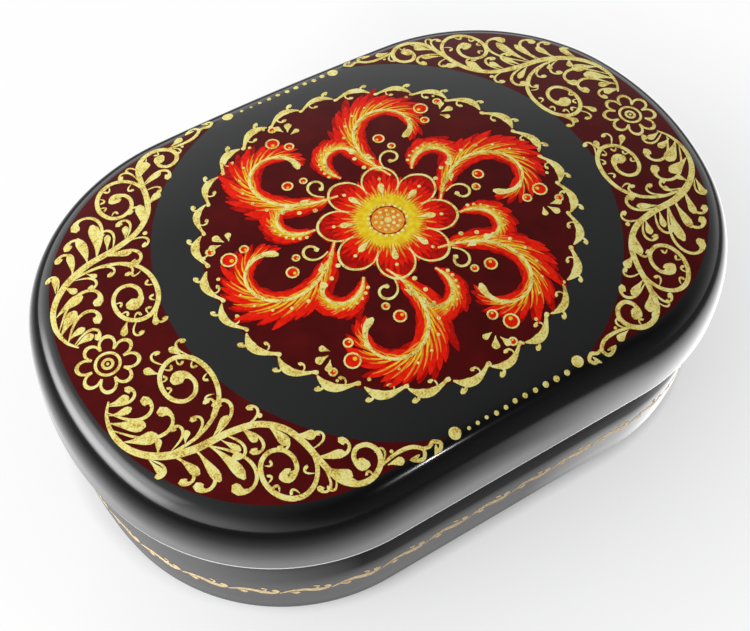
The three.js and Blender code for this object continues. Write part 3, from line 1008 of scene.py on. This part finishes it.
# The flower in the middle: eight round petals with gold rims, each filled with a fan of strokes.
flower_fans = 8
petal = smooth_path([(3.4, 0), (5.2, 0), (7.2, 0), (8.6, 0), (9.3, 0)], 3)
petal_rim = smooth_path([(5.0, -2.05), (6.6, -2.55), (8.2, -2.2), (9.3, -1.1), (9.6, 0),
                         (9.3, 1.1), (8.2, 2.2), (6.6, 2.55), (5.0, 2.05)], 3)
for k in range(flower_fans):
    parts = {"deep_red": [pressed(petal, [(0, .6), (.45, 2.1), (.75, 2.5), (.93, 1.7), (1, .6)])],
             "red": [], "orange": [], "yellow": [],
             "gold": [pressed(petal_rim, [(0, .1), (.5, .2), (1, .1)])]}
    for j in range(-5, 6):
        for colour, start, length, half in (("red", 3.0, 5.6, .34), ("orange", 2.7, 4.2, .17),
                                            ("yellow", 2.4, 3.0, .17)):
            length *= .8 if colour == "orange" and j % 2 else 1
            length = (length - abs(j) * .22) * hand(.88, 1.06)
            fan = curl_path(start, j * .18, j * 5.4, length, j * 3.4, 6, 1.0)
            parts[colour].append(pressed(fan, [(0, .4), (.5, 1), (.85, .8), (1, .2)], half))
    parts["gold"] += [drop_stroke(4.0, 0, 0, 2.6, .42), dot_stroke(7.4, 0, .26)]
    add_turned(parts, 2 * pi * (k + .5) / flower_fans)
# Its middle: an orange boss under rings of gold dots.
add_turned({"deep_red": [dot_stroke(0, 0, 2.9)], "orange": [dot_stroke(0, 0, 2.3)]}, 0)
for radius, count, size in ((0, 1, .5), (.95, 6, .27), (1.65, 11, .25), (2.65, 20, .24)):
    medallion["gold"] += [dot_stroke(x, y, size) for x, y in circle_path(0, 0, radius, count)[:-1]]


def tempera(name, dark, light):
    """Egg tempera under clear lacquer: strong opaque colour, a little streaky from the brush."""
    material, place = new_material(name)
    streaks = add_noise(material, place, 0.7, 4)
    streak_colour = add_node(material, "ValToRGB", (streaks,), ((0.36, dark), (0.62, light)))
    bump = add_bump(material, streaks, 0.3, 0.02)
    shader = add_node(material, "BsdfPrincipled", {
        "Base Color": streak_colour, "Roughness": 0.3, "IOR": 1.45, "Specular IOR Level": 0.15,
        "Specular Tint": linear(light), "Coat Weight": 0.06, "Coat Roughness": 0.1,
        "Coat IOR": 1.5, "Normal": bump})
    add_node(material, "OutputMaterial", {"Surface": shader})
    return material


paints = {"deep_red": tempera("deep_red_tempera", "#a3100b", "#c8180f"),
          "red": tempera("red_tempera", "#e81a0c", "#fd2812"),
          "orange": tempera("orange_tempera", "#ee8420", "#fba63a"),
          "yellow": tempera("yellow_tempera", "#f6c81c", "#fde53a"),
          "gold": gold}
paint_layer_step = 0.012 * mm
for layer, (colour, paint) in enumerate(paints.items()):
    paint_lid("middle_" + colour, medallion[colour], gold_lift + layer * paint_layer_step, paint)


# Gold wave on the body: a running line of leaf strokes with a curl above and a drop below, all
# the way round the wall.
wave_height = 7.3
wave_pitch_aim = 7.0
wave_lift = 0.014 * mm
corner_run = corner_radius * (pi / 2 - meet_angle)
quarter_run = corner_x + corner_run + end_radius * meet_angle


def wall_at(run):
    """The place on the wall, and the way it faces, that far round from the middle of the front."""
    quarter, rest = divmod(run % (4 * quarter_run), quarter_run)
    rest = quarter_run - rest if quarter % 2 else rest
    way = Vector((1 if quarter < 2 else -1, -1 if quarter in (0, 3) else 1))
    if rest < corner_x:
        return Vector((rest, half_width)) * way, Vector((0, 1)) * way
    if rest < corner_x + corner_run:
        centre, radius = Vector((corner_x, corner_rise)), corner_radius
        angle = pi / 2 - (rest - corner_x) / corner_radius
    else:
        centre, radius = Vector((end_x, 0)), end_radius
        angle = meet_angle - (rest - corner_x - corner_run) / end_radius
    facing = Vector((cos(angle), sin(angle)))
    return (centre + facing * radius) * way, facing * way


wave_count = round(4 * quarter_run / mm / wave_pitch_aim)
wave_pitch = 4 * quarter_run / mm / wave_count
wave_leaf = smooth_path([(-.3, -.45), (1.2, .3), (2.9, .45), (4.5, -.1), (5.8, -.3), (6.5, .2),
                         (6.2, .6), (5.8, .4)], 3)
wave_pressure = [(0, .1), (.2, .34), (.45, .52), (.75, .3), (.92, .34), (1, .14)]
hand = Random(8).uniform
strokes = []
for k in range(wave_count):
    wave = [pressed(wave_leaf, wave_pressure, hand(.95, 1.15)), curl_stroke(4.3, .1, 35, 1.9, 1),
            drop_stroke(1.0, -.1, -20, 1.5, .4)]
    strokes += [[(x + k * wave_pitch, y + wave_height, half) for x, y, half in stroke]
                for stroke in wave]
body_wave = paint_strokes("body_gold_wave", strokes)
for vertex in body_wave.data.vertices:
    place, facing = wall_at(vertex.co.x)
    place += facing * (wave_lift - body_setback + film_side(vertex.co.z) * paint_film)
    vertex.co = (place.x, place.y, vertex.co.y)
tidy_mesh(body_wave, 40)

# Bronze powder in varnish: a flat peach gold, duller than the gold of the lid.
bronze, place = new_material("bronze_powder_paint")
bronze_grain = add_noise(bronze, place, 0.5, 3)
bronze_colour = add_node(bronze, "ValToRGB", (bronze_grain,), (
    (0.35, "#dcb888"), (0.60, "#ffe4b4")))
bronze_bump = add_bump(bronze, bronze_grain, 0.3, 0.02)
bronze_shader = add_node(bronze, "BsdfPrincipled", {
    "Base Color": bronze_colour, "Metallic": 0.15, "Roughness": 0.5, "Specular IOR Level": 0.3,
    "Normal": bronze_bump})
add_node(bronze, "OutputMaterial", {"Surface": bronze_shader})
finish_paint(body_wave, bronze, "box")
